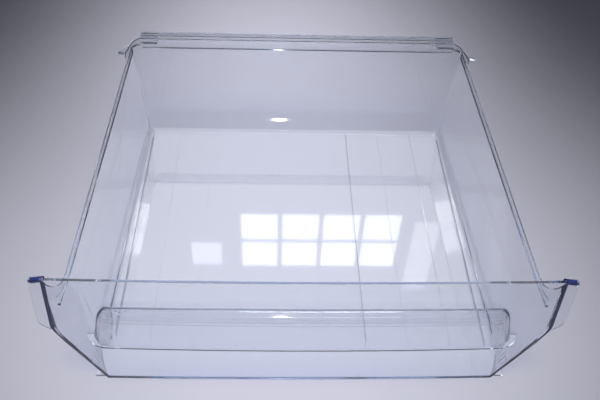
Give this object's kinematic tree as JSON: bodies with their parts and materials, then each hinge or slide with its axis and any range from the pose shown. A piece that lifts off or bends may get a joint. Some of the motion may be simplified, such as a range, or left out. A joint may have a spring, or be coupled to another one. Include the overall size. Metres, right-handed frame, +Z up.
{
  "type": "freezer drawer",
  "caption": "Clear moulded freezer drawer: a drafted tub that flares out to a wide bowed front panel with slanted lower corners and a hooded full-width grip, with stop ears at the rear.",
  "frame": {"origin": "middle of the bounding box, on the surface the drawer stands on", "axes": "+X to the right as seen from the front, +Y to the back, away from the handle, +Z up"},
  "size_m": [0.4596, 0.415, 0.149],
  "materials": {
    "clear_plastic": "clear polystyrene with a pale blue tint, deep blue where seen edge-on, polished on both sides"
  },
  "bodies": {
    "root": {"drawer": "clear_plastic"}
  },
  "joints": []
}
